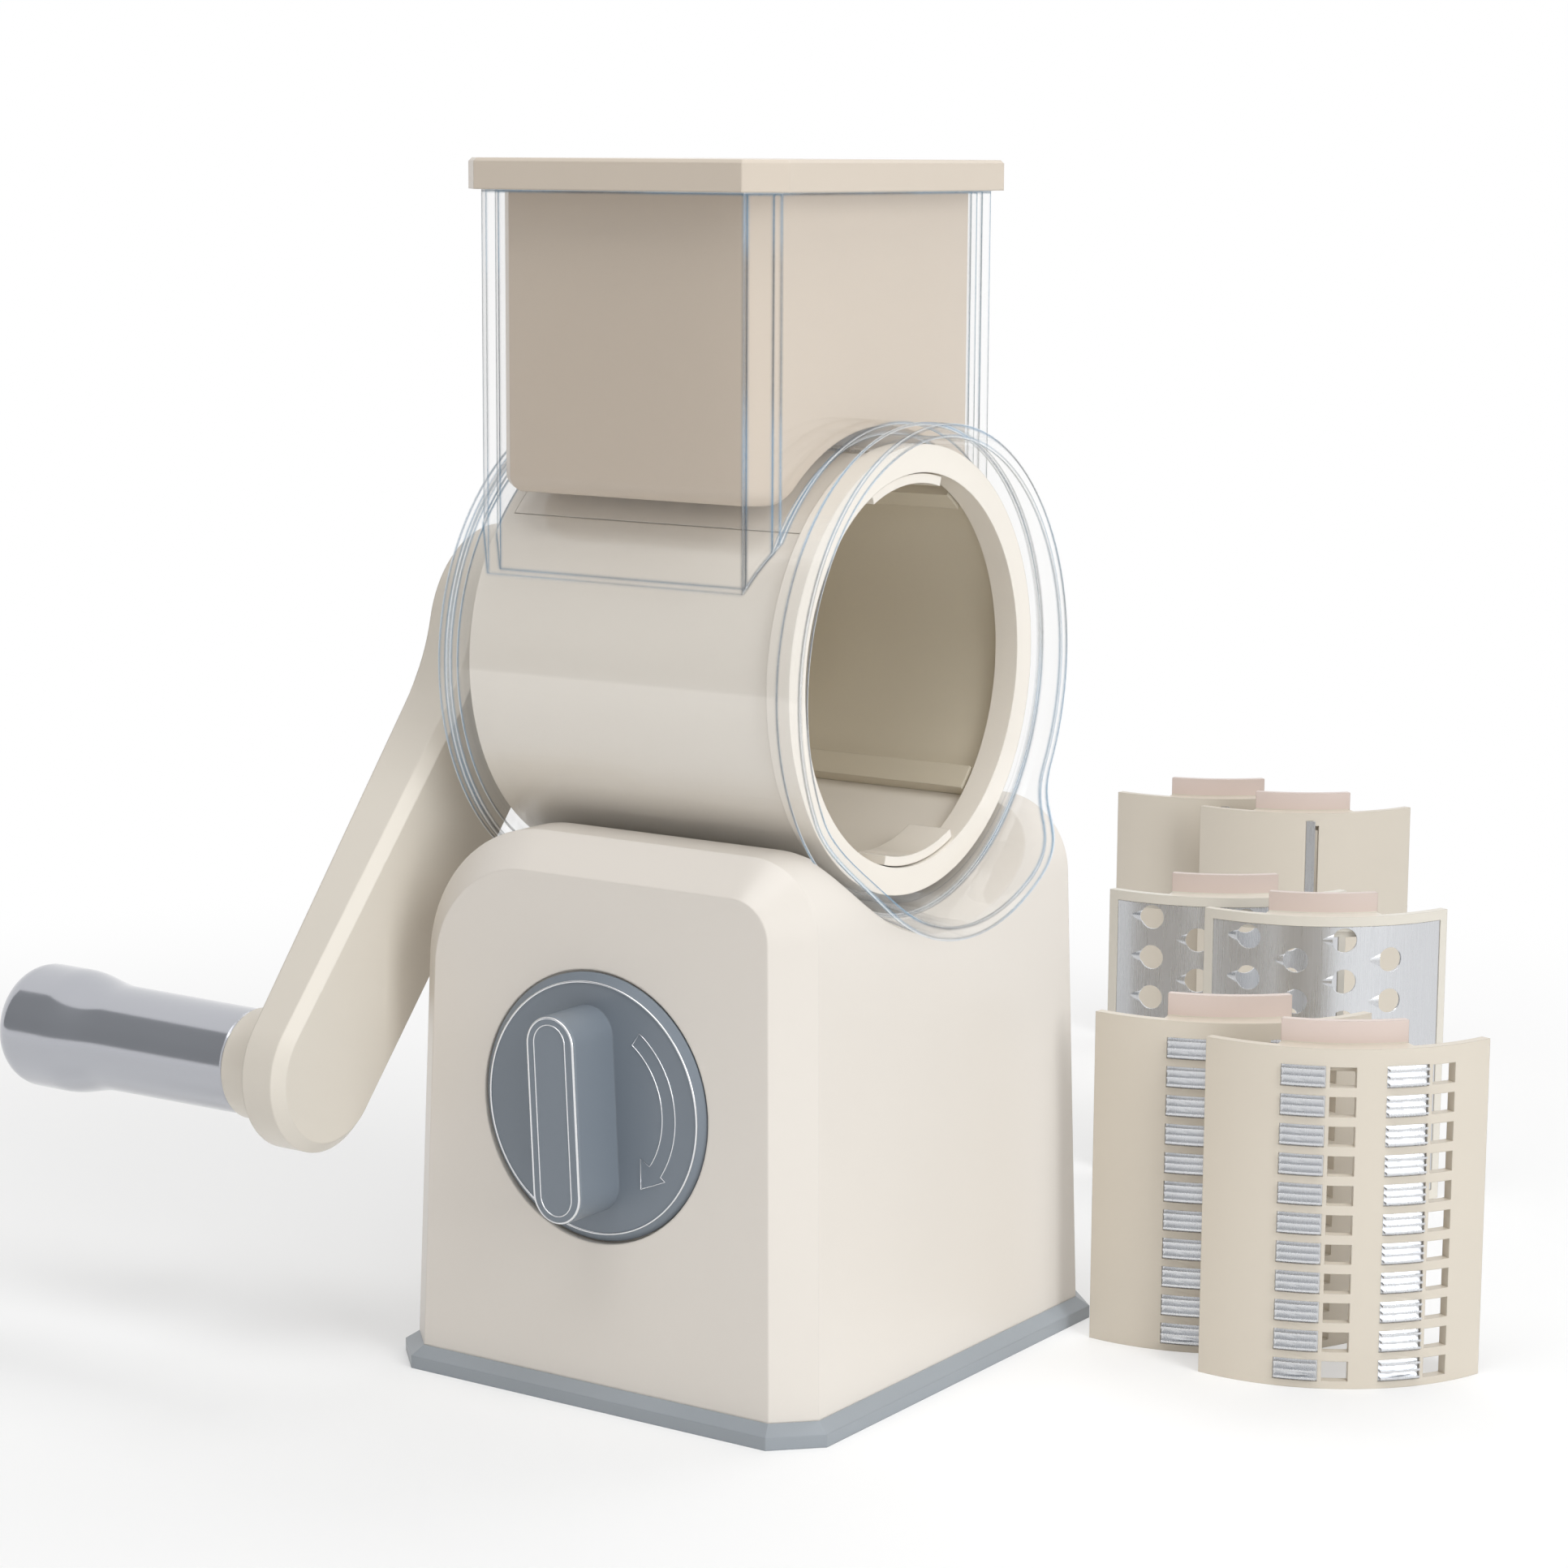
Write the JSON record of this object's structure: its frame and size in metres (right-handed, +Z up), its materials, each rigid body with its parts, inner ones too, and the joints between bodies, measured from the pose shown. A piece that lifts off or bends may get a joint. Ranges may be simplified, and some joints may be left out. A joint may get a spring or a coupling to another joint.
{
  "type": "rotary drum shredder",
  "caption": "Hand cranked drum shredder on a suction foot, with a clear lift-off housing, a hopper with pusher, a pull-out drum and curved slicing, shredding and julienne inserts",
  "frame": {"origin": "middle of the foot plate's outline, on the table", "axes": "+X along the drum to the outlet, away from the crank; -Y to the side with the suction knob; +Z up"},
  "size_m": [0.3195, 0.4676, 0.285],
  "materials": {
    "beige_plastic": "satin beige moulding",
    "insert_plastic": "satin beige moulding",
    "blue_grey_plastic": "fine matt, blue-grey",
    "inner_plastic": "plain white moulding",
    "clear_plastic": "clear, polished",
    "grip_plastic": "silver-grey, semi-gloss",
    "rubber": "soft, dark",
    "blade_steel": "stainless sheet",
    "zinc_steel": "plain turned steel"
  },
  "bodies": {
    "base": {"base_housing": "beige_plastic", "foot_plate": "blue_grey_plastic", "base_screws": "zinc_steel", "suction_cup": "rubber"},
    "knob": {"suction_knob": "blue_grey_plastic", "cam_spindle": "zinc_steel", "spindle_clip": "zinc_steel"},
    "plunger": {"suction_plunger": "inner_plastic"},
    "housing": {"drum_housing": "clear_plastic", "shaft_bush": "inner_plastic"},
    "crank": {"crank_arm": "beige_plastic", "drive_shaft": "zinc_steel", "thrust_washer": "zinc_steel", "crank_screw": "zinc_steel", "hub_cap": "beige_plastic", "grip_pin": "zinc_steel"},
    "grip": {"grip": "grip_plastic"},
    "drum": {"drum_body": "beige_plastic", "fitted_slicer_top": "insert_plastic", "fitted_slicer_bottom": "insert_plastic", "fitted_blade_top": "blade_steel", "fitted_blade_bottom": "blade_steel"},
    "pusher": {"pusher_body": "beige_plastic", "pusher_lid": "beige_plastic"},
    "loose_slicer_1": {"slicer_plate_1": "insert_plastic", "slicer_blade_1": "blade_steel"},
    "loose_slicer_2": {"slicer_plate_2": "insert_plastic", "slicer_blade_2": "blade_steel"},
    "loose_shredder_1": {"shredder_frame_1": "insert_plastic", "shredder_sheet_1": "blade_steel"},
    "loose_shredder_2": {"shredder_frame_2": "insert_plastic", "shredder_sheet_2": "blade_steel"},
    "loose_julienne_1": {"julienne_plate_1": "insert_plastic", "julienne_blades_1": "blade_steel"},
    "loose_julienne_2": {"julienne_plate_2": "insert_plastic", "julienne_blades_2": "blade_steel"}
  },
  "joints": [
    {"name": "knob_turn", "type": "hinge", "parent": "base", "child": "knob", "pos_m": [0, -0.0631, 0.0705], "axis": [0, 1, 0], "range_deg": [0, 90]},
    {"name": "plunger_lift", "type": "slide", "parent": "base", "child": "plunger", "axis": [0, 0, 1], "range_m": [0, 0.004], "deforming": ["suction_cup"]},
    {"name": "housing_lift", "type": "slide", "parent": "base", "child": "housing", "axis": [0, 0, 1], "range_m": [0, 0.08]},
    {"name": "crank_turn", "type": "hinge", "parent": "housing", "child": "crank", "pos_m": [-0.057, 0, 0.168], "axis": [1, 0, 0], "continuous": true},
    {"name": "drum_slide", "type": "slide", "parent": "crank", "child": "drum", "axis": [1, 0, 0], "range_m": [0, 0.11]},
    {"name": "grip_spin", "type": "hinge", "parent": "crank", "child": "grip", "pos_m": [-0.1236, -0.08299, 0.07253], "axis": [1, 0, 0], "continuous": true},
    {"name": "pusher_lift", "type": "slide", "parent": "housing", "child": "pusher", "axis": [0, 0, 1], "range_m": [0, 0.09]},
    {"name": "slicer_1_lift", "type": "slide", "parent": "base", "child": "loose_slicer_1", "axis": [0, 0, 1], "range_m": [0, 0.1]},
    {"name": "slicer_2_lift", "type": "slide", "parent": "base", "child": "loose_slicer_2", "axis": [0, 0, 1], "range_m": [0, 0.1]},
    {"name": "shredder_1_lift", "type": "slide", "parent": "base", "child": "loose_shredder_1", "axis": [0, 0, 1], "range_m": [0, 0.1]},
    {"name": "shredder_2_lift", "type": "slide", "parent": "base", "child": "loose_shredder_2", "axis": [0, 0, 1], "range_m": [0, 0.1]},
    {"name": "julienne_1_lift", "type": "slide", "parent": "base", "child": "loose_julienne_1", "axis": [0, 0, 1], "range_m": [0, 0.1]},
    {"name": "julienne_2_lift", "type": "slide", "parent": "base", "child": "loose_julienne_2", "axis": [0, 0, 1], "range_m": [0, 0.1]}
  ],
  "couplings": [
    {"joint": "knob_turn", "follows": "plunger_lift", "rad_per_m": 392.7}
  ]
}
